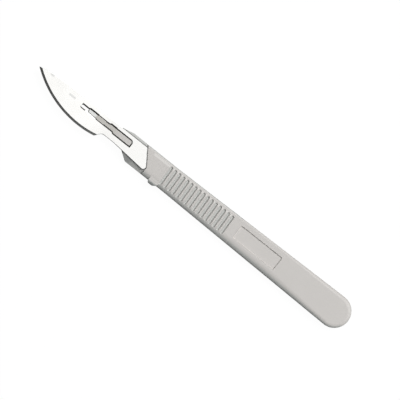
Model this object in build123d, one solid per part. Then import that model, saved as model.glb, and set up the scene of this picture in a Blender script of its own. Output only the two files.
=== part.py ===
from build123d import *
from math import cos, radians, sin, tan
import os

# Disposable scalpel: a ground steel blade seated on a one-piece moulded plastic handle.
# It lies on its back face. Sizes are in millimetres.
# Drawing frame: X = 0 at the top corner of the blade's heel, with the point towards -X and the tail
# towards +X. Y = 0 on the handle's centre line, with the blade's back towards +Y. Z = 0 on the back face.

# Handle: the long flat bar and its round tail
handle_reach = 99.4
handle_thickness = 4.6
neck_width = 10.3
tail_width = 12.8
taper_start = 13.9
lower_edge_width = 2.8
lower_edge_height = 1.8
upper_edge_width = 0.75
upper_edge_height = 0.9
tail_edge_width = 1.5
tail_edge_height = 1.2
edge_fade_start = 64.0

# Blade: a flat plate with a curved ground edge, a straight back and a slanted heel
blade_reach = 50.6
blade_thickness = 0.4
spine_height = 4.3
spine_curve_length = 16.9
point_curve_length = 5.25
point_curve_drop = 0.44
point_drop = 1.62
belly_lead = 7.35
belly_drop = 9.93
ground_lead = 2.0
ground_end_drop = 9.15
bevel_width = 0.95
edge_land = 0.01
throat_place = 16.5
throat_radius = 2.0
neck_drop = 6.65
outer_rim_width = 0.2
outer_rim_depth = 0.08
flare_place = 11.2
flare_angle = 4.6
heel_lean = 34.3
heel_corner_radius = 1.15
heel_top_radius = 0.3

# Keyhole slot: narrow in front, a step wider where the boss starts, and with a window behind it
slot_front = 29.0
slot_rear = 5.6
slot_centre = 1.2
slot_width = 1.05
entry_rise = 0.38
entry_rise_start = 25.7
window_rise = 0.68
window_drop = 0.42
window_rise_start = 16.0
window_drop_start = 13.5
slot_step_run = 0.5
slot_front_radius = 0.25
window_rear_radius = 0.9
slot_rim_width = 0.4
slot_rim_depth = 0.15

# Seat and nose that carry the blade
pocket_depth = 0.8
pocket_draft = 12.0
heel_clearance = 0.1
nose_rise = 1.0
underside_ramp_rear = 9.0
underside_ramp_length = 12.0
nose_front_lead = 0.5
nose_front_width = 3.2
nose_front_run = 3.2
nose_corner_radius = 0.8
nose_side_clearance = 0.45
upper_shoulder_start = 13.2
upper_shoulder_run = 6.0
lower_shoulder_start = 8.2
lower_shoulder_run = 4.7
lower_slope_width = 2.1
lower_slope_height = 1.25
upper_rim_radius = 0.6
slant_radius = 0.6

# Boss that stands through the slot and holds the blade
boss_setback = 3.4
boss_clearance = 0.12
boss_stand = 0.4
boss_ramp_length = 3.8
boss_ramp_foot = 0.1
lip_reach = 0.08
lip_clearance = 0.05
lip_setback = 3.9
lip_length = 3.6

# Finger stop on the lower edge
stop_start = 7.7
stop_length = 3.7
stop_height = 0.85
stop_rear_run = 1.3
stop_front_run = 0.45
stop_root_run = 1.1
stop_margin = 0.08
stop_corner_radius = 0.25
stop_rim_width = 1.5
stop_rim_height = 1.4

# Grip grooves across both faces
groove_count = 16
groove_pitch = 1.95
first_groove = 12.1
groove_width = 1.4
groove_length = 8.5
groove_offset = 0.1
groove_depth = 0.65
groove_draft = 38.0
groove_corner = 0.5
groove_lift = 0.1
groove_slant = 2.5

# Shallow bare recess in the front face
recess_start = 45.8
recess_length = 19.6
recess_width = 5.8
recess_offset = 0.45
recess_depth = 0.5
recess_draft = 25.0
recess_corner = 0.35

# Levels and places that follow from the sizes above
seat_level = handle_thickness - pocket_depth
blade_top = seat_level + blade_thickness
boss_top = blade_top + boss_stand
lower_edge = (lower_edge_width, lower_edge_height)
upper_edge = (upper_edge_width, upper_edge_height)
tail_edge = (tail_edge_width, tail_edge_height)
stop_rim = (stop_rim_width, stop_rim_height)
tail_radius = tail_width / 2
tail_centre = handle_reach - tail_radius
neck_half = neck_width / 2
heel_slope = tan(radians(heel_lean))
whole_length = handle_reach + blade_reach
neck_low = spine_height - neck_drop
ground_end = (-throat_place - ground_lead, spine_height - ground_end_drop)
belly = (ground_end[0] - belly_lead, spine_height - belly_drop)
slot_low = slot_centre - slot_width / 2
slot_high = slot_centre + slot_width / 2
slot_entry_high = slot_high + entry_rise
boss_front = boss_setback - slot_front
cut_margin = handle_thickness / 2


def half_width(x):
    """Half of the handle's width at a place along it."""
    run = tail_centre - taper_start
    share = min(max((x - taper_start) / run, 0.0), 1.0)
    return neck_half + share * (tail_radius - neck_half)


def prism(outline, low, high):
    """A plan outline raised from one level to another."""
    return extrude(Pos(0, 0, low) * outline, amount=high - low)


def nearest(things, place):
    """The vertex or edge that lies nearest to a place."""
    return things.sort_by_distance(Vector(*place))[0]


def heel_corner():
    """The sharp corner where the flared lower edge would meet the slanted heel."""
    flare = tan(radians(flare_angle))
    x = (neck_drop + flare * flare_place) * heel_slope / (1 - flare * heel_slope)
    return x, spine_height - x / heel_slope


def heel_end():
    """How far the rounded corner of the heel reaches towards the tail."""
    lower = Vector(-cos(radians(flare_angle)), sin(radians(flare_angle)))
    heel = Vector(-sin(radians(heel_lean)), cos(radians(heel_lean)))
    half_angle = radians(lower.get_angle(heel)) / 2
    to_centre = (lower + heel).normalized() * (heel_corner_radius / sin(half_angle))
    return heel_corner()[0] + to_centre.X + heel_corner_radius


def blade_outline():
    """Plan of the blade without its slot."""
    point = (-blade_reach, spine_height - point_drop)
    throat = (-throat_place, neck_low)
    flare = (-flare_place, neck_low)
    heel_top = (0, spine_height)
    spine_end = (spine_curve_length - blade_reach, spine_height)
    curve_end = (point_curve_length - blade_reach, spine_height - point_curve_drop)
    with BuildSketch() as plan:
        with BuildLine():
            TangentArc(belly, point, tangent=(-1, 0))
            TangentArc(belly, ground_end, tangent=(1, 0))
            Polyline(ground_end, throat, flare, heel_corner(), heel_top, spine_end)
            long_arc = TangentArc(spine_end, curve_end, tangent=(-1, 0))
            TangentArc(curve_end, point, tangent=long_arc % 1)
        make_face()
        fillet(nearest(plan.vertices(), throat), throat_radius)
        fillet(nearest(plan.vertices(), heel_corner()), heel_corner_radius)
        fillet(nearest(plan.vertices(), heel_top), heel_top_radius)
    return plan.sketch


def slot_outline(inset=0.0):
    """Plan of the keyhole slot, or of a body that stands in it with a clearance all round."""
    front = -slot_front + inset
    rear = -slot_rear - inset
    low = slot_low + inset
    high = slot_high - inset
    entry_high = high + entry_rise
    window_low = low - window_drop
    window_high = high + window_rise
    drop_end = -window_drop_start + inset
    rise_end = -window_rise_start + inset
    entry_end = -entry_rise_start + inset
    corners = [
        (front, low),
        (drop_end - slot_step_run, low),
        (drop_end, window_low),
        (rear, window_low),
        (rear, window_high),
        (rise_end, window_high),
        (rise_end - slot_step_run, entry_high),
        (entry_end, entry_high),
        (entry_end - slot_step_run, high),
        (front, high),
    ]
    with BuildSketch() as plan:
        with BuildLine():
            Polyline(*corners, close=True)
        make_face()
        for corner in (corners[0], corners[-1]):
            fillet(nearest(plan.vertices(), corner), slot_front_radius - inset / 2)
        fillet(nearest(plan.vertices(), corners[4]), window_rear_radius - inset)
    return plan.sketch


def make_blade():
    """Steel plate with its curved edge ground from both faces. It is stamped from above, which rolls
    down its upper rim a little, all but the ground edge, and the rim of its slot more."""
    plate = prism(blade_outline(), seat_level, blade_top)
    top = plate.faces().sort_by(Axis.Z)[-1]
    stamped = top.edges().sort_by_distance(Vector(*belly, blade_top))[2:]
    plate = chamfer(stamped, outer_rim_width, outer_rim_depth, reference=top)
    grind_depth = (blade_thickness - edge_land) / 2
    for level in (blade_top, seat_level):
        face = plate.faces().filter_by(Plane.XY).sort_by_distance(Vector(0, 0, level))[0]
        edges = face.edges().sort_by_distance(Vector(*belly, level))[:2]
        plate = chamfer(edges, bevel_width, grind_depth, reference=face)
    plate -= prism(slot_outline(), 0, handle_thickness)
    top = plate.faces().sort_by(Axis.Z)[-1]
    rim = top.inner_wires()[0].edges()
    return chamfer(rim, slot_rim_width, slot_rim_depth, reference=top)


def bar_section(x, half, low_edge, high_edge):
    """Cross-section of the handle's bar: flat faces that fall away in soft long edges. Each edge is a
    quarter of an ellipse, given as its width and its height."""
    middle = handle_thickness / 2
    low_end = low_edge[0] - half
    high_end = half - high_edge[0]
    with BuildSketch() as section:
        with BuildLine():
            Line((low_end, middle), (high_end, middle))
            EllipticalCenterArc((high_end, middle - high_edge[1]), *high_edge)
            Line((half, middle - high_edge[1]), (half, 0))
            EllipticalCenterArc((low_end, middle - low_edge[1]), *low_edge, start_angle=90)
            Line((-half, middle - low_edge[1]), (-half, 0))
            mirror(about=Plane.XZ)
        make_face()
    return Plane.YZ.offset(x) * Pos(0, middle) * section.sketch


def make_bar():
    """The whole length of the bar, tapering wider to its round tail."""
    tail_section = bar_section(tail_centre, tail_radius, tail_edge, tail_edge)
    sections = [
        bar_section(-whole_length, neck_half, lower_edge, upper_edge),
        bar_section(taper_start, neck_half, lower_edge, upper_edge),
        bar_section(edge_fade_start, half_width(edge_fade_start), lower_edge, upper_edge),
        tail_section,
    ]
    tail_half = split(tail_section, bisect_by=Plane.XZ, keep=Keep.TOP)
    tail = revolve(tail_half, Axis((tail_centre, 0, 0), (0, 0, 1)), revolution_arc=180)
    return loft(sections, ruled=True) + tail


def pocket_outline():
    """Everything in front of the raised face: the pocket's rear wall follows the blade's heel."""
    beyond = tail_width
    wall_shift = heel_clearance / cos(radians(heel_lean))
    drop_x = heel_end() + heel_clearance
    drop_y = spine_height - (drop_x - wall_shift) / heel_slope
    top_x = wall_shift + (spine_height - beyond) * heel_slope
    with BuildSketch() as plan:
        with BuildLine():
            Polyline(
                (top_x, beyond),
                (drop_x, drop_y),
                (drop_x, -beyond),
                (-whole_length, -beyond),
                (-whole_length, beyond),
                close=True,
            )
        make_face()
        fillet(nearest(plan.vertices(), (drop_x, drop_y)), heel_corner_radius + heel_clearance)
    return plan.sketch


def pocket_cutter():
    """Takes the bar away in front of the pocket's wall, which leans back above the seat."""
    outline = pocket_outline()
    leaning = extrude(Pos(0, 0, seat_level) * outline, amount=2 * pocket_depth, taper=-pocket_draft)
    return prism(outline, -cut_margin, seat_level) + leaning


def nose_outline():
    """Plan of the nose: narrow under the blade, widening in two shoulders past the bar's sides."""
    beyond = tail_width
    front = boss_front - nose_front_lead
    front_low = (front, slot_centre - nose_front_width / 2)
    front_high = (front, slot_centre + nose_front_width / 2)
    upper = spine_height - nose_side_clearance
    lower = neck_low + nose_side_clearance
    upper_slope = (neck_half - upper) / upper_shoulder_run
    lower_slope = (neck_half + lower) / lower_shoulder_run
    with BuildSketch() as plan:
        with BuildLine():
            Polyline(
                front_low,
                (front + nose_front_run, lower),
                (-lower_shoulder_start, lower),
                ((beyond + lower) / lower_slope - lower_shoulder_start, -beyond),
                (handle_reach, -beyond),
                (handle_reach, beyond),
                ((beyond - upper) / upper_slope - upper_shoulder_start, beyond),
                (-upper_shoulder_start, upper),
                (front + nose_front_run, upper),
                front_high,
                close=True,
            )
        make_face()
        fillet(nearest(plan.vertices(), front_low), nose_corner_radius)
        fillet(nearest(plan.vertices(), front_high), nose_corner_radius)
    return plan.sketch


def make_nose():
    """The nose that carries the blade. It keeps the bar's soft under edges, slopes away below the
    blade's lower edge, and ends flush on the pocket's wall."""
    slope_foot = (-neck_half, seat_level - lower_slope_height)
    slope_head = (lower_slope_width - neck_half, seat_level)
    high_corner = (neck_half, seat_level)
    with BuildSketch() as section:
        with BuildLine():
            Polyline((-neck_half, 0), (neck_half, 0), high_corner, slope_head, slope_foot, close=True)
        make_face()
        fillet(nearest(section.vertices(), high_corner), upper_rim_radius)
    start = -whole_length
    strip = extrude(Plane.YZ.offset(start) * section.sketch, amount=2 * whole_length)
    strip &= extrude(bar_section(start, neck_half, lower_edge, upper_edge), amount=2 * whole_length)
    plan = prism(nose_outline(), -cut_margin, seat_level)
    shoulder_middle_x = lower_shoulder_run / 2 - lower_shoulder_start
    shoulder_middle = (shoulder_middle_x, (neck_low - neck_half) / 2, seat_level)
    plan = fillet(nearest(plan.edges(), shoulder_middle), slant_radius)
    return strip & plan & prism(pocket_outline(), -cut_margin, seat_level)


def side_prism(corners):
    """A side profile, in X and Z, drawn out across the whole width."""
    with BuildSketch(Plane.XZ) as profile:
        with BuildLine():
            Polyline(*corners, close=True)
        make_face()
    return extrude(profile.sketch, amount=tail_width, both=True)


def underside_cut():
    """What the ramp takes away below the nose, so that the blade's carrier is thinner than the bar."""
    ramp_front = underside_ramp_rear - underside_ramp_length
    below = -handle_thickness
    return side_prism(
        [
            (-whole_length, below),
            (-whole_length, nose_rise),
            (ramp_front, nose_rise),
            (underside_ramp_rear, 0),
            (underside_ramp_rear, below),
        ]
    )


def plan_box(x_low, x_high, y_low, y_high):
    """A rectangle of the plan, from its limits."""
    middle = Pos((x_low + x_high) / 2, (y_low + y_high) / 2)
    return middle * Rectangle(x_high - x_low, y_high - y_low)


def make_boss():
    """The boss stands through the slot. Its lips reach over the narrow part's edges and hold the blade
    down, its rear block fills the window, and its front is a ramp for sliding the blade on."""
    behind = plan_box(boss_front, 0, slot_low - window_drop, slot_high + window_rise)
    neck = prism(slot_outline(boss_clearance) & behind, seat_level, boss_top)
    lip_front = boss_front + lip_setback
    lip_rear = lip_front + lip_length
    lip_plan = plan_box(lip_front, lip_rear, slot_low - lip_reach, slot_entry_high + lip_reach)
    lips = prism(lip_plan, blade_top + lip_clearance, boss_top)
    foot = blade_top + lip_clearance + boss_ramp_foot
    above = boss_top + boss_stand
    ramp = side_prism(
        [
            (-whole_length, foot),
            (boss_front, foot),
            (boss_front + boss_ramp_length, boss_top),
            (boss_front + boss_ramp_length, above),
            (-whole_length, above),
        ]
    )
    return neck + lips - ramp


def make_stop():
    """The small finger stop: a nub on the lower edge, almost as tall as the bar, with its own soft rims."""
    inside = lower_edge_width - neck_half
    outer = -neck_half - stop_height
    with BuildSketch() as plan:
        with BuildLine():
            Polyline(
                (stop_start, inside),
                (stop_start, -neck_half),
                (stop_start + stop_front_run, outer),
                (stop_start + stop_length - stop_rear_run, outer),
                (stop_start + stop_length, -neck_half),
                (stop_start + stop_length + stop_root_run, inside),
                close=True,
            )
        make_face()
        fillet(plan.vertices().group_by(Axis.Y)[0], stop_corner_radius)
    nub = prism(plan.sketch, stop_margin, handle_thickness - stop_margin)
    rounding = bar_section(0, neck_half + stop_height, stop_rim, stop_rim)
    return nub & extrude(rounding, amount=handle_reach)


def groove_cutters():
    """Drafted cutters for the grip grooves of both faces, with cut corners at their ends."""
    spread = 2 * groove_lift * tan(radians(groove_draft))
    mouth = Rectangle(groove_width + spread, groove_length + spread)
    mouth = chamfer(mouth.vertices(), groove_corner)
    cutter = extrude(mouth, amount=groove_depth + groove_lift, taper=groove_draft)
    cutters = []
    for index in range(groove_count):
        place = Pos(first_groove + index * groove_pitch, groove_offset, 0)
        turn = Rot(0, 0, groove_slant)
        cutters.append(Pos(0, 0, handle_thickness + groove_lift) * place * turn * Rot(180, 0, 0) * cutter)
        cutters.append(Pos(0, 0, -groove_lift) * place * turn * cutter)
    return cutters


def recess_cutter():
    """Drafted cutter for the shallow bare recess of the front face."""
    centre = Pos(recess_start + recess_length / 2, recess_offset, handle_thickness)
    outline = Rectangle(recess_length, recess_width)
    outline = chamfer(outline.vertices(), recess_corner)
    return centre * Rot(180, 0, 0) * extrude(outline, amount=recess_depth, taper=recess_draft)


def make_handle():
    """The one-piece moulding: bar, nose, boss and finger stop, less grooves and recess."""
    bar = make_bar() - pocket_cutter()
    body = bar + make_nose() + make_stop() - underside_cut() + make_boss()
    return body - [recess_cutter(), *groove_cutters()]


handle = make_handle()
blade = make_blade()

# The part's own origin is the middle of its footprint, on the surface that it rests on
extent = Compound([handle, blade]).bounding_box()
to_origin = Pos(-extent.center().X, -extent.center().Y, -extent.min.Z)

os.makedirs("parts", exist_ok=True)
export_step(to_origin * handle, "parts/handle.step")
export_step(to_origin * blade, "parts/blade.step")
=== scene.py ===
# %% [markdown]
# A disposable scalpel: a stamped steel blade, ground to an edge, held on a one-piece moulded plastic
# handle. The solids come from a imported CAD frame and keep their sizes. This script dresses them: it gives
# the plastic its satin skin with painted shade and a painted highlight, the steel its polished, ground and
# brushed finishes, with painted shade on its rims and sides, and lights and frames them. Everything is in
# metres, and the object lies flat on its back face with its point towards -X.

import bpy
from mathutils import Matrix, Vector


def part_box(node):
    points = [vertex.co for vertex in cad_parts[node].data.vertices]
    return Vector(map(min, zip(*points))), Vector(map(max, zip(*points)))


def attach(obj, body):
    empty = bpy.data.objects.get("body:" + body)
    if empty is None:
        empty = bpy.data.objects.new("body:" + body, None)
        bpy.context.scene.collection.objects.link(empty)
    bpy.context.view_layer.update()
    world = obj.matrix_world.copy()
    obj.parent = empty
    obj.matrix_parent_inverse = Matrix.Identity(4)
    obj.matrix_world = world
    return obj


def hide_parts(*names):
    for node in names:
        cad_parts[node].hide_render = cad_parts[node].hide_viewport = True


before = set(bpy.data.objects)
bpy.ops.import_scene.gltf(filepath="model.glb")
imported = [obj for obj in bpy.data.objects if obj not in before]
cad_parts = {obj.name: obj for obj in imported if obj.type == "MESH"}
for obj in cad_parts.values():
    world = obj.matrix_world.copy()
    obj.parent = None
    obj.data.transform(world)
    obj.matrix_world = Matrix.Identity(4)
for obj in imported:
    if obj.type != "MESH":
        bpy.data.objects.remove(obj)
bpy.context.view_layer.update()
print("nodes", sorted(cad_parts))

# %% Helpers that the later cells share
import math

import bmesh
import bpy
from mathutils import Vector

MM = 0.001
WELD_STEP = 0.0002 * MM
handle_low, handle_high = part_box("handle")


def add_node(tree, kind, place=(0, 0), **settings):
    """One node of a shader or geometry tree, with its properties set by name."""
    node = tree.nodes.new(kind)
    node.location = place
    for name, value in settings.items():
        setattr(node, name, value)
    return node


def set_inputs(node, values):
    """Sets a node's unlinked inputs by their names."""
    for name, value in values.items():
        node.inputs[name].default_value = value
    return node


def new_group(name, kind, inputs, outputs):
    """An empty node group with named sockets, and its input and output nodes."""
    group = bpy.data.node_groups.new(name, kind)
    for label, (socket, value) in inputs.items():
        made = group.interface.new_socket(label, in_out="INPUT", socket_type=socket)
        if value is not None:
            made.default_value = value
    for label, socket in outputs.items():
        group.interface.new_socket(label, in_out="OUTPUT", socket_type=socket)
    start = add_node(group, "NodeGroupInput", (-800, 0))
    end = add_node(group, "NodeGroupOutput", (800, 0))
    return group, start, end


def put_object(name, mesh):
    """A finished mesh as an object at the origin, where the frame's own nodes stand."""
    piece = bpy.data.objects.new(name, mesh)
    bpy.context.scene.collection.objects.link(piece)
    return piece


def count_faces(piece):
    """How many polygons a piece has, for the printed notes."""
    return len(piece.data.polygons)


# %% [markdown]
# Both finishes have marks that come from how the part was made, and both need the same two kinds of
# change over the surface. One is a slow drift of tone, as of a moulding that cooled unevenly or a polish
# that was pressed harder in places. The other is a fine relief, as of a spark-eroded mould or a polishing
# belt. Each is a node group with named inputs, built once, so that a material only states its own scale
# and share.

# %% Tone drift, for the plastic and the steel
def build_tone_drift():
    """A slow change of tone: a factor around 1 that multiplies a colour."""
    inputs = {
        "Place": ("NodeSocketVector", None),
        "Size": ("NodeSocketFloat", 0.01),
        "Share": ("NodeSocketFloat", 0.03),
        "Colour": ("NodeSocketColor", (0.5, 0.5, 0.5, 1)),
    }
    group, start, end = new_group("tone_drift", "ShaderNodeTree", inputs, {"Colour": "NodeSocketColor"})
    link = group.links.new
    per_metre = add_node(group, "ShaderNodeMath", (-600, -100), operation="DIVIDE")
    per_metre.inputs[0].default_value = 1.0
    link(start.outputs["Size"], per_metre.inputs[1])
    noise = add_node(group, "ShaderNodeTexNoise", (-400, 0))
    set_inputs(noise, {"Detail": 3.0, "Roughness": 0.5})
    link(start.outputs["Place"], noise.inputs["Vector"])
    link(per_metre.outputs[0], noise.inputs["Scale"])
    centred = add_node(group, "ShaderNodeMath", (-200, 0), operation="SUBTRACT")
    centred.inputs[1].default_value = 0.5
    link(noise.outputs["Fac"], centred.inputs[0])
    spread = add_node(group, "ShaderNodeMath", (0, 0), operation="MULTIPLY_ADD")
    link(centred.outputs[0], spread.inputs[0])
    link(start.outputs["Share"], spread.inputs[1])
    spread.inputs[2].default_value = 1.0
    scaled = add_node(group, "ShaderNodeVectorMath", (300, 0), operation="SCALE")
    link(start.outputs["Colour"], scaled.inputs[0])
    link(spread.outputs[0], scaled.inputs["Scale"])
    link(scaled.outputs[0], end.inputs["Colour"])
    return group


tone_drift = build_tone_drift()
print("group", tone_drift.name)

# %% Surface relief, for the mould texture and the polishing lines
def build_surface_relief():
    """Fine relief: a normal from noise that may be stretched along one way, and a matching roughness."""
    inputs = {
        "Place": ("NodeSocketVector", None),
        "Grain": ("NodeSocketVector", (0.0002, 0.0002, 0.0002)),
        "Height": ("NodeSocketFloat", 0.00001),
        "Strength": ("NodeSocketFloat", 0.3),
        "Roughness": ("NodeSocketFloat", 0.4),
        "Spread": ("NodeSocketFloat", 0.1),
    }
    outputs = {"Normal": "NodeSocketVector", "Roughness": "NodeSocketFloat"}
    group, start, end = new_group("surface_relief", "ShaderNodeTree", inputs, outputs)
    link = group.links.new
    stretched = add_node(group, "ShaderNodeVectorMath", (-600, 0), operation="DIVIDE")
    link(start.outputs["Place"], stretched.inputs[0])
    link(start.outputs["Grain"], stretched.inputs[1])
    noise = add_node(group, "ShaderNodeTexNoise", (-400, 0))
    set_inputs(noise, {"Scale": 1.0, "Detail": 2.0, "Roughness": 0.6})
    link(stretched.outputs[0], noise.inputs["Vector"])
    bump = add_node(group, "ShaderNodeBump", (0, 200))
    link(noise.outputs["Fac"], bump.inputs["Height"])
    link(start.outputs["Height"], bump.inputs["Distance"])
    link(start.outputs["Strength"], bump.inputs["Strength"])
    link(bump.outputs[0], end.inputs["Normal"])
    centred = add_node(group, "ShaderNodeMath", (-200, -200), operation="SUBTRACT")
    centred.inputs[1].default_value = 0.5
    link(noise.outputs["Fac"], centred.inputs[0])
    spread = add_node(group, "ShaderNodeMath", (0, -200), operation="MULTIPLY_ADD")
    link(centred.outputs[0], spread.inputs[0])
    link(start.outputs["Spread"], spread.inputs[1])
    link(start.outputs["Roughness"], spread.inputs[2])
    link(spread.outputs[0], end.inputs["Roughness"])
    return group


surface_relief = build_surface_relief()
print("group", surface_relief.name)

# %% [markdown]
# Some stretches of a finish look different from the rest: a ramp that is rubbed pale, a rim that stays
# raw. A soft box marks such a stretch by its place alone. It is 1 inside two corners, and fades to 0 at
# its sides. The stretch could be painted on an unwrapped copy instead, but a box needs no unwrapping, and
# its corners can be read in millimetres.

# %% A soft box, to mark one stretch of a piece
def build_soft_box():
    """A mask that is 1 between a low and a high corner, and fades over a small distance inside them."""
    inputs = {
        "Place": ("NodeSocketVector", None),
        "Low": ("NodeSocketVector", (0, 0, 0)),
        "High": ("NodeSocketVector", (1, 1, 1)),
        "Fade": ("NodeSocketFloat", 0.0004),
    }
    group, start, end = new_group("soft_box", "ShaderNodeTree", inputs, {"Mask": "NodeSocketFloat"})
    link = group.links.new
    per_metre = add_node(group, "ShaderNodeMath", (-600, -300), operation="DIVIDE")
    per_metre.inputs[0].default_value = 1.0
    link(start.outputs["Fade"], per_metre.inputs[1])
    sides = []
    for first, second in (("Place", "Low"), ("High", "Place")):
        inside = add_node(group, "ShaderNodeVectorMath", (-600, 0), operation="SUBTRACT")
        link(start.outputs[first], inside.inputs[0])
        link(start.outputs[second], inside.inputs[1])
        share = add_node(group, "ShaderNodeVectorMath", (-400, 0), operation="SCALE")
        link(inside.outputs[0], share.inputs[0])
        link(per_metre.outputs[0], share.inputs["Scale"])
        above = add_node(group, "ShaderNodeVectorMath", (-200, 0), operation="MAXIMUM")
        link(share.outputs[0], above.inputs[0])
        limited = add_node(group, "ShaderNodeVectorMath", (0, 0), operation="MINIMUM")
        limited.inputs[1].default_value = (1, 1, 1)
        link(above.outputs[0], limited.inputs[0])
        sides.append(limited.outputs[0])
    both = add_node(group, "ShaderNodeVectorMath", (200, 0), operation="MULTIPLY")
    link(sides[0], both.inputs[0])
    link(sides[1], both.inputs[1])
    axes = add_node(group, "ShaderNodeSeparateXYZ", (350, 0))
    link(both.outputs[0], axes.inputs[0])
    plan = add_node(group, "ShaderNodeMath", (500, 0), operation="MULTIPLY")
    link(axes.outputs["X"], plan.inputs[0])
    link(axes.outputs["Y"], plan.inputs[1])
    whole = add_node(group, "ShaderNodeMath", (650, 0), operation="MULTIPLY")
    link(plan.outputs[0], whole.inputs[0])
    link(axes.outputs["Z"], whole.inputs[1])
    link(whole.outputs[0], end.inputs["Mask"])
    return group


soft_box = build_soft_box()
print("group", soft_box.name)

# %% [markdown]
# A finish is one small material: a base colour that drifts, a relief that gives the normal and the
# roughness, and plain numbers on the shader's own sockets for what is the same all over. One function
# makes every finish here, because plastic and steel differ only in those numbers.

# %% One function for every finish
def make_finish(name, colour, drift, relief, shader):
    """A finish: a drifting colour, a relief for normal and roughness, and the shader's own numbers."""
    material = bpy.data.materials.new(name)
    material.use_nodes = True
    tree = material.node_tree
    link = tree.links.new
    principled = tree.nodes["Principled BSDF"]
    set_inputs(principled, shader)
    place = add_node(tree, "ShaderNodeTexCoord", (-900, 0)).outputs["Object"]
    tone = add_node(tree, "ShaderNodeGroup", (-400, 200), node_tree=tone_drift)
    set_inputs(tone, {**drift, "Colour": (*colour, 1)})
    link(place, tone.inputs["Place"])
    link(tone.outputs["Colour"], principled.inputs["Base Color"])
    grain = add_node(tree, "ShaderNodeGroup", (-400, -200), node_tree=surface_relief)
    set_inputs(grain, relief)
    link(place, grain.inputs["Place"])
    link(grain.outputs["Normal"], principled.inputs["Normal"])
    link(grain.outputs["Roughness"], principled.inputs["Roughness"])
    return material


def tint_stretch(material, low, high, fade, colour):
    """Lays another colour over the base colour inside a soft box. All its sizes are in millimetres."""
    tree = material.node_tree
    link = tree.links.new
    base = tree.nodes["Principled BSDF"].inputs["Base Color"]
    under = base.links[0].from_socket
    place = add_node(tree, "ShaderNodeTexCoord", (-900, 500)).outputs["Object"]
    mask = add_node(tree, "ShaderNodeGroup", (-400, 500), node_tree=soft_box)
    corners = {"Low": [value * MM for value in low], "High": [value * MM for value in high]}
    set_inputs(mask, {**corners, "Fade": fade * MM})
    link(place, mask.inputs["Place"])
    blend = add_node(tree, "ShaderNodeMix", (-150, 400), data_type="RGBA")
    factor, below, above = blend.inputs[0], blend.inputs[6], blend.inputs[7]
    link(mask.outputs["Mask"], factor)
    link(under, below)
    above.default_value = (*colour, 1)
    link(blend.outputs[2], base)
    print(material.name, "tinted from", low, "to", high, "mm")


# %% [markdown]
# The handle is styrene moulded in a matt tool. It is a warm light grey with almost no tone change, its
# skin is a fine even grain that scatters the light, and a trace of gloss shows along its rounded edges.

# %% The handle's plastic
satin_plastic = make_finish(
    "satin_plastic",
    (0.600, 0.566, 0.544),
    {"Size": 9 * MM, "Share": 0.05},
    {
        "Grain": (0.16 * MM, 0.16 * MM, 0.16 * MM),
        "Height": 0.012 * MM,
        "Strength": 0.35,
        "Roughness": 0.52,
        "Spread": 0.16,
    },
    {"IOR": 1.5, "Specular IOR Level": 0.4},
)

# %% [markdown]
# Painted shade makes the skin darker and cooler in the grooves, round the sides and along the lower
# edge, most of all on the shoulder, where the blade's shadow is painted, and on the finger stop. The
# boss's ramp is rubbed pale by the blade that slid over it, and its front half is a little darker behind
# the ramp. A painted highlight follows the upper edge of the face. Each row holds a stretch's two corners
# and its fade in millimetres, and its colour. A later row lies over an earlier one.

# %% The plastic's darker and paler stretches
GROOVES_END = 20.8
LAST_RIB = 17.6
FACE_FADE = 0.35
SIDE_SHADE_SKIN = (0.515, 0.510, 0.492)
DARKER_BOSS_SKIN = (0.545, 0.518, 0.484)
RUBBED_SKIN = (0.82, 0.81, 0.79)
EDGE_HIGHLIGHT_SKIN = (0.72, 0.685, 0.66)
SHOULDER_SHADOW_SKIN = (0.38, 0.38, 0.37)
STOP_SHADE_SKIN = (0.41, 0.415, 0.405)
plastic_stretches = (
    # Painted shade on the sides all round, under the edges of the face
    ((-60, -10, 0.05), (80, 10, 3.4), FACE_FADE, SIDE_SHADE_SKIN),
    # Painted shade on the nose and in the grooves, all but the face itself
    ((-60, -10, 0.05), (GROOVES_END, 10, 4.55), FACE_FADE, SIDE_SHADE_SKIN),
    # Painted shade on the lower edge behind the grooves
    ((GROOVES_END, -10, 0.05), (80, -2.6, 4.55), FACE_FADE, SIDE_SHADE_SKIN),
    # The front half of the boss, a little darker, then its ramp
    ((-49, -3, 2.5), (-36, 5, 6.5), 2, DARKER_BOSS_SKIN),
    ((-51, -1, 3.9), (-46.5, 3, 5.2), 0.3, RUBBED_SKIN),
    # A painted highlight along the upper edge of the face
    ((-21, 3.3, 4.2), (LAST_RIB, 4.5, 5.2), 0.3, EDGE_HIGHLIGHT_SKIN),
    # Painted shadow on the shoulder under the blade, and painted shade on the finger stop
    ((-33, -6, -1), (-25.6, -1, 5), 1.2, SHOULDER_SHADOW_SKIN),
    ((-18.5, -8, -1), (-12, -4.5, 6), 0.6, STOP_SHADE_SKIN),
)
for stretch in plastic_stretches:
    tint_stretch(satin_plastic, *stretch)

# %% [markdown]
# The blade's two faces are cold-rolled strip that was polished by a belt running along it. They are
# bright, and act as a blurred mirror. The cutting edge is ground later by a finer wheel that runs across
# the edge, and it tilts away from the flat, so it mirrors a darker part of the room. The two finishes
# differ in the way that their grain is stretched: along the blade for the belt, and across it for the
# wheel.

# %% The polished flat and the ground edge
polished_steel = make_finish(
    "polished_steel",
    (0.895, 0.873, 0.852),
    {"Size": 5 * MM, "Share": 0.12},
    {
        "Grain": (2.5 * MM, 0.05 * MM, 0.05 * MM),
        "Height": 0.001 * MM,
        "Strength": 0.15,
        "Roughness": 0.24,
        "Spread": 0.06,
    },
    {"Metallic": 1.0},
)
ground_steel = make_finish(
    "ground_steel",
    (0.55, 0.54, 0.52),
    {"Size": 3 * MM, "Share": 0.12},
    {
        "Grain": (0.06 * MM, 1.5 * MM, 0.06 * MM),
        "Height": 0.003 * MM,
        "Strength": 0.4,
        "Roughness": 0.24,
        "Spread": 0.10,
    },
    {"Metallic": 1.0},
)
print("finishes", polished_steel.name, ground_steel.name)
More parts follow.
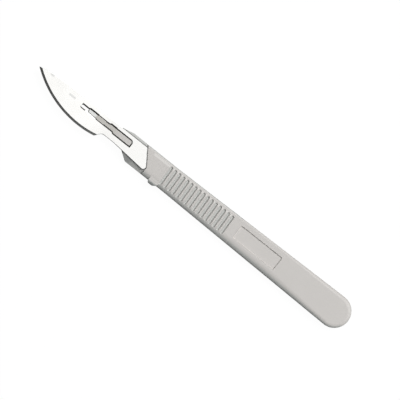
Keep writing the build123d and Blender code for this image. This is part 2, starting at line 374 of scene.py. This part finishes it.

# %% [markdown]
# The stamp rolls the rims down, so those narrow bands tilt away too. The slot's rim and all the sides are
# painted near black, as painted shade for the dark shadow lines along them. The belt has reached the outer
# rim and brushed it, with a blurrier shine than the flat has.

# %% The rims and sides in painted shade, and the brushed outer rim
shaded_edge_steel = make_finish(
    "shaded_edge_steel",
    (0.06, 0.06, 0.055),
    {"Size": 1 * MM, "Share": 0.2},
    {
        "Grain": (0.1 * MM, 0.1 * MM, 0.4 * MM),
        "Height": 0.004 * MM,
        "Strength": 0.5,
        "Roughness": 0.38,
        "Spread": 0.2,
    },
    {"Metallic": 1.0},
)
brushed_steel = make_finish(
    "brushed_steel",
    (0.93, 0.925, 0.91),
    {"Size": 2 * MM, "Share": 0.08},
    {
        "Grain": (1 * MM, 0.05 * MM, 0.05 * MM),
        "Height": 0.003 * MM,
        "Strength": 0.3,
        "Roughness": 0.45,
        "Spread": 0.1,
    },
    {"Metallic": 1.0},
)
print("finishes", shaded_edge_steel.name, brushed_steel.name)

# %% [markdown]
# Steel has its stretches too. The slot's rim keeps plain bright steel, without the painted shade, beside
# the ramp and at its front end. The outer rim gets a painted shadow where the handle is beside it, and a
# lighter painted shade along the heel. The rear of the blade is a little darker. The slot's upper rim gets
# a wider band of painted shade in three places. Two faint smudges lie on the flat: one at the back near
# the point, and one in front of the slot.

# %% The steel's stretches: plain rim, painted shadow and shade, darker rear, and smudges
PLAIN_RIM_STEEL = (0.85, 0.84, 0.82)
SHADED_STEEL = (0.06, 0.06, 0.06)
HEEL_SHADE_STEEL = (0.35, 0.35, 0.34)
DARKER_REAR_STEEL = (0.825, 0.805, 0.79)
DEEP_RIM_SHADE = (0.08, 0.08, 0.075)
SMUDGED_STEEL = (0.70, 0.69, 0.68)
RIM_FADE = 0.08
SMUDGE_FADE = 0.4
steel_stretches = (
    # The slot's rim beside the ramp, and at its front end, in plain bright steel without the painted shade
    (shaded_edge_steel, (-51.4, -2, 3), (-46.0, 1.1, 5), 0.4, PLAIN_RIM_STEEL),
    (shaded_edge_steel, (-55, 0.7, 3), (-53.0, 1.7, 5), 0.2, PLAIN_RIM_STEEL),
    # Painted shadow on the outer rim along the back and the neck, and lighter painted shade along the heel
    (brushed_steel, (-36.4, 3.7, 3), (-15, 10, 5), 0.3, SHADED_STEEL),
    (brushed_steel, (-30, -2.4, 3), (-15, 4.0, 5), 0.3, HEEL_SHADE_STEEL),
    (brushed_steel, (-41, -10, 3), (-15, -2.05, 5), 0.3, SHADED_STEEL),
    # The rear of the blade, a little darker
    (polished_steel, (-46, -16, -10), (-9, 16, 18), 6, DARKER_REAR_STEEL),
    # Painted shade, wider in three places along the slot's upper rim
    (polished_steel, (-53.7, 2.05, 3), (-50.1, 2.35, 5), RIM_FADE, DEEP_RIM_SHADE),
    (polished_steel, (-50.1, 2.43, 3), (-46.0, 2.70, 5), RIM_FADE, DEEP_RIM_SHADE),
    (polished_steel, (-40.6, 2.73, 3), (-37.6, 3.00, 5), RIM_FADE, DEEP_RIM_SHADE),
    # The two smudges
    (polished_steel, (-70.1, 2.7, 3), (-68.1, 4.4, 5), SMUDGE_FADE, SMUDGED_STEEL),
    (polished_steel, (-60.0, 1.1, 3), (-56.6, 2.3, 5), SMUDGE_FADE, SMUDGED_STEEL),
)
for stretch in steel_stretches:
    tint_stretch(*stretch)
steel_finishes = (polished_steel, ground_steel, shaded_edge_steel, brushed_steel)
print("finishes of the blade", [finish.name for finish in steel_finishes])

# %% [markdown]
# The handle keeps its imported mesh, so its finish goes into the slot that the frame gave it. A copy with
# more slots isn't needed, because one material with its stretches covers the whole moulding.

# %% The handle wears the plastic
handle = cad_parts["handle"]
handle.material_slots[0].material = satin_plastic
print("handle triangles", count_faces(handle))

# %% [markdown]
# The blade has four finishes on one piece of steel, so each face needs its own material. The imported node
# is loose triangles and stays as it is. A welded copy stands in for it: corners that share a place become
# one, and the normals of the solid are carried over, so that round stretches stay smooth and corners stay
# crisp. Each face is then sorted by how far it leans from the flat of the blade.

# %% A welded copy of a node
def welded_copy(node, name):
    """A copy of a node's mesh whose triangles share their corners, with the solid's own normals."""
    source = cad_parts[node].data
    numbers = {}
    places = []
    faces = []
    normals = []
    for face in source.polygons:
        corners = []
        for index in face.vertices:
            place = source.vertices[index].co
            key = tuple(round(value / WELD_STEP) for value in place)
            if key not in numbers:
                numbers[key] = len(places)
                places.append(tuple(place))
            corners.append(numbers[key])
        if len(set(corners)) == len(corners):
            faces.append(corners)
            normals.extend(source.corner_normals[loop].vector[:] for loop in face.loop_indices)
    mesh = bpy.data.meshes.new(name)
    mesh.from_pydata(places, [], faces)
    mesh.normals_split_custom_set(normals)
    print(name, "points", len(places), "faces", len(faces))
    return put_object(name, mesh)


blade = welded_copy("blade", "ground_blade")

# %% Sort the blade's faces by their lean
BEVEL_LEAN = math.atan2(0.195, 0.95)
SLOT_RIM_LEAN = math.atan2(0.15, 0.4)
OUTER_RIM_LEAN = math.atan2(0.08, 0.2)
SIDE_LEAN = math.radians(90)
finish_by_lean = {0.0: 0, BEVEL_LEAN: 1, SLOT_RIM_LEAN: 2, OUTER_RIM_LEAN: 3, SIDE_LEAN: 2}
for finish in steel_finishes:
    blade.data.materials.append(finish)
for face in blade.data.polygons:
    lean = math.acos(min(1.0, abs(face.normal.z)))
    nearest_lean = min(finish_by_lean, key=lambda known: abs(known - lean))
    face.material_index = finish_by_lean[nearest_lean]
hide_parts("blade")
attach(blade, "root")
indices = [face.material_index for face in blade.data.polygons]
print("faces of each finish", [indices.count(number) for number in range(len(steel_finishes))])

# %% [markdown]
# Where the two halves of the mould meet, a moulded bar keeps a hairline of plastic: the parting line. It
# runs all the way round at half thickness, so its path is the outline of the handle cut at that height. A
# Geometry Nodes tree draws a fine bead along that path. Its radius and the spacing of its rings are named
# inputs.

# %% The path of the parting line
def outline_at(node, height, name):
    """The outline of a node where a level plane cuts it, as a mesh of edges alone."""
    shape = bmesh.new()
    shape.from_mesh(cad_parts[node].data)
    bmesh.ops.remove_doubles(shape, verts=shape.verts, dist=WELD_STEP)
    everything = shape.verts[:] + shape.edges[:] + shape.faces[:]
    cut = bmesh.ops.bisect_plane(shape, geom=everything, plane_co=(0, 0, height), plane_no=(0, 0, 1))
    ring = {item for item in cut["geom_cut"] if isinstance(item, bmesh.types.BMEdge)}
    bmesh.ops.delete(shape, geom=shape.faces[:], context="FACES_ONLY")
    bmesh.ops.delete(shape, geom=[edge for edge in shape.edges if edge not in ring], context="EDGES")
    loose = [point for point in shape.verts if not point.link_edges]
    bmesh.ops.delete(shape, geom=loose, context="VERTS")
    mesh = bpy.data.meshes.new(name)
    shape.to_mesh(mesh)
    shape.free()
    return mesh


half_height = (handle_low.z + handle_high.z) / 2
line_path = outline_at("handle", half_height, "parting_line")
print("parting line path", len(line_path.vertices), "points", len(line_path.edges), "edges")

# %% The tree that draws a bead along a path
def build_bead_tree():
    """A bead of round section along every edge of the mesh it is given."""
    inputs = {
        "Path": ("NodeSocketGeometry", None),
        "Radius": ("NodeSocketFloat", 0.00005),
        "Spacing": ("NodeSocketFloat", 0.0005),
        "Sides": ("NodeSocketInt", 6),
        "Finish": ("NodeSocketMaterial", None),
    }
    outputs = {"Bead": "NodeSocketGeometry"}
    group, start, end = new_group("bead_along_path", "GeometryNodeTree", inputs, outputs)
    link = group.links.new
    curve = add_node(group, "GeometryNodeMeshToCurve", (-600, 0))
    evened = add_node(group, "GeometryNodeResampleCurve", (-400, 0), mode="LENGTH")
    section = add_node(group, "GeometryNodeCurvePrimitiveCircle", (-400, -300))
    swept = add_node(group, "GeometryNodeCurveToMesh", (-100, 0))
    whole = add_node(group, "GeometryNodeRealizeInstances", (150, 0))
    painted = add_node(group, "GeometryNodeSetMaterial", (400, 0))
    link(start.outputs["Path"], curve.inputs["Mesh"])
    link(curve.outputs["Curve"], evened.inputs["Curve"])
    link(start.outputs["Spacing"], evened.inputs["Length"])
    link(start.outputs["Sides"], section.inputs["Resolution"])
    link(start.outputs["Radius"], section.inputs["Radius"])
    link(evened.outputs["Curve"], swept.inputs["Curve"])
    link(section.outputs["Curve"], swept.inputs["Profile Curve"])
    link(swept.outputs["Mesh"], whole.inputs["Geometry"])
    link(whole.outputs["Geometry"], painted.inputs["Geometry"])
    link(start.outputs["Finish"], painted.inputs["Material"])
    link(painted.outputs["Geometry"], end.inputs["Bead"])
    return group


def grow(piece, tree, values):
    """Runs a Geometry Nodes tree on a piece and keeps the result as its plain mesh."""
    modifier = piece.modifiers.new(tree.name, "NODES")
    modifier.node_group = tree
    for item in tree.interface.items_tree:
        if item.in_out == "INPUT" and item.name in values:
            modifier[item.identifier] = values[item.name]
    bpy.context.view_layer.update()
    grown = bpy.data.meshes.new_from_object(piece.evaluated_get(bpy.context.evaluated_depsgraph_get()))
    piece.modifiers.remove(modifier)
    piece.data = grown
    print(piece.name, "faces", len(grown.polygons))
    return piece


parting_line = put_object("parting_line", line_path)
bead_values = {"Radius": 0.05 * MM, "Spacing": 0.5 * MM, "Sides": 6, "Finish": satin_plastic}
grow(parting_line, build_bead_tree(), bead_values)
for face in parting_line.data.polygons:
    face.use_smooth = True
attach(parting_line, "root")

# %% [markdown]
# The stage is a plain white floor that curves up into a low wall, so that every view ends on white. What
# the camera, glass and metal see of it glows white by itself, all but a faint share that is lit by the
# lamps and so takes the object's shadow. The lamps give that share about 0.8 of white on the open floor,
# and the glow makes up the rest. What lights the object from below is a mid grey, which keeps its under
# edges dark.

# %% The floor and its curved wall
FLOOR_RADIUS = 2.4
BEND_RADIUS = 0.6
WALL_HEIGHT = 1.6
SHADOW_SHARE = 0.04
OPEN_FLOOR_LIGHT = 0.8
BOUNCE = 0.25


def build_stage():
    """A round floor with a wall round it, as one lathe shape."""
    profile = [(0, 0), (FLOOR_RADIUS, 0)]
    for step in range(1, 9):
        turn = step / 8 * math.pi / 2
        profile.append((FLOOR_RADIUS + BEND_RADIUS * math.sin(turn), BEND_RADIUS * (1 - math.cos(turn))))
    profile.append((FLOOR_RADIUS + BEND_RADIUS, WALL_HEIGHT))
    shape = bmesh.new()
    points = [shape.verts.new((x, 0, z)) for x, z in profile]
    edges = [shape.edges.new(pair) for pair in zip(points, points[1:])]
    bmesh.ops.spin(shape, geom=points + edges, axis=(0, 0, 1), cent=(0, 0, 0), angle=math.tau, steps=64)
    bmesh.ops.remove_doubles(shape, verts=shape.verts, dist=0.001)
    bmesh.ops.recalc_face_normals(shape, faces=shape.faces)
    if shape.faces[0].normal.z < 0:
        bmesh.ops.reverse_faces(shape, faces=shape.faces)
    mesh = bpy.data.meshes.new("floor")
    shape.to_mesh(mesh)
    shape.free()
    for face in mesh.polygons:
        face.use_smooth = True
    return put_object("floor", mesh)


def make_stage_paint():
    """White where it is seen, with a faint shadow, and mid grey where it lights the object."""
    material = bpy.data.materials.new("stage_white")
    material.use_nodes = True
    tree = material.node_tree
    tree.nodes.remove(tree.nodes["Principled BSDF"])
    link = tree.links.new
    path = add_node(tree, "ShaderNodeLightPath", (-900, 300))
    seen = add_node(tree, "ShaderNodeMath", (-700, 300), operation="ADD")
    link(path.outputs["Is Camera Ray"], seen.inputs[0])
    link(path.outputs["Is Glossy Ray"], seen.inputs[1])
    any_seen = add_node(tree, "ShaderNodeMath", (-500, 300), operation="ADD", use_clamp=True)
    link(seen.outputs[0], any_seen.inputs[0])
    link(path.outputs["Is Transmission Ray"], any_seen.inputs[1])
    glow = add_node(tree, "ShaderNodeEmission", (-500, 0))
    set_inputs(glow, {"Color": (1, 1, 1, 1), "Strength": 1.0 - SHADOW_SHARE * OPEN_FLOOR_LIGHT})
    faint = add_node(tree, "ShaderNodeBsdfDiffuse", (-500, -200))
    set_inputs(faint, {"Color": (SHADOW_SHARE, SHADOW_SHARE, SHADOW_SHARE, 1)})
    white = add_node(tree, "ShaderNodeAddShader", (-250, -50))
    link(glow.outputs[0], white.inputs[0])
    link(faint.outputs[0], white.inputs[1])
    grey = add_node(tree, "ShaderNodeBsdfDiffuse", (-250, -300))
    set_inputs(grey, {"Color": (BOUNCE, BOUNCE, BOUNCE, 1)})
    choice = add_node(tree, "ShaderNodeMixShader", (0, 0))
    link(any_seen.outputs[0], choice.inputs["Fac"])
    link(grey.outputs[0], choice.inputs[1])
    link(white.outputs[0], choice.inputs[2])
    link(choice.outputs[0], tree.nodes["Material Output"].inputs["Surface"])
    return material


floor = build_stage()
floor.data.materials.append(make_stage_paint())
print("floor faces", count_faces(floor))

# %% [markdown]
# The light is a soft room with its window on the right of the picture. A white card straight overhead is
# what the flat of the blade mirrors. The room is darker away from the window, and that is what the ground
# edge mirrors, so it reads as a dark line. One large lamp at the upper right models the long edges and
# grooves.

# %% The direction of the window, seen by the camera as the right
PICTURE_TURN = math.radians(38.57)
window_way = Vector((math.cos(PICTURE_TURN), math.sin(PICTURE_TURN), 0))
ROOM_COLOUR = (0.92, 1.0, 1.0, 1)


def build_world():
    """A plain room whose brightness rises towards the window."""
    world = bpy.data.worlds.new("soft_room")
    bpy.context.scene.world = world
    world.use_nodes = True
    tree = world.node_tree
    link = tree.links.new
    way = add_node(tree, "ShaderNodeTexCoord", (-900, 0)).outputs["Generated"]
    towards = add_node(tree, "ShaderNodeVectorMath", (-700, 0), operation="DOT_PRODUCT")
    link(way, towards.inputs[0])
    towards.inputs[1].default_value = window_way
    level = add_node(tree, "ShaderNodeMapRange", (-450, 0))
    set_inputs(level, {"From Min": -0.35, "From Max": 0.7, "To Min": 0.05, "To Max": 0.75})
    link(towards.outputs["Value"], level.inputs["Value"])
    link(level.outputs["Result"], tree.nodes["Background"].inputs["Strength"])
    set_inputs(tree.nodes["Background"], {"Color": ROOM_COLOUR})


def add_card(name, place, side, radiance):
    """A square soft lamp that faces the object. Its power gives it a plain brightness."""
    lamp = bpy.data.lights.new(name, "AREA")
    lamp.shape = "SQUARE"
    lamp.size = side
    lamp.energy = radiance * math.pi * side * side
    card = bpy.data.objects.new(name, lamp)
    bpy.context.scene.collection.objects.link(card)
    card.location = place
    card.rotation_euler = Vector(place).to_track_quat("Z", "Y").to_euler()
    print(name, "power", round(lamp.energy, 2), "W")


build_world()
CARD_HEIGHT = 1.3
add_card("overhead_card", (0, 0, CARD_HEIGHT), 0.7, 0.96)
KEY_RISE = math.radians(55)
KEY_TURN = math.radians(60)
KEY_DISTANCE = 1.6
key_height = KEY_DISTANCE * math.sin(KEY_RISE)
key_reach = KEY_DISTANCE * math.cos(KEY_RISE)
key_place = (key_reach * math.cos(KEY_TURN), key_reach * math.sin(KEY_TURN), key_height)
add_card("window_lamp", key_place, 0.7, 13.0)

# %% [markdown]
# The picture looks straight down through a long lens, turned so that the object lies along its diagonal,
# with the point at the upper left. The lens is long enough that the height of the object shifts nothing.

# %% The camera
CAMERA_HEIGHT = 1.0
FIELD_WIDTH = 150 * MM
FIELD_LEVEL = 3.4 * MM
AIM = (3.27 * MM, 1.07 * MM)
lens = bpy.data.cameras.new("camera")
lens.sensor_width = 36
lens.lens = lens.sensor_width * CAMERA_HEIGHT / FIELD_WIDTH
camera = bpy.data.objects.new("camera", lens)
bpy.context.scene.collection.objects.link(camera)
camera.location = (*AIM, CAMERA_HEIGHT + FIELD_LEVEL)
camera.rotation_euler = (0, 0, PICTURE_TURN)
bpy.context.scene.camera = camera
bpy.context.scene.view_settings.view_transform = "Standard"
print("lens", round(lens.lens), "mm")
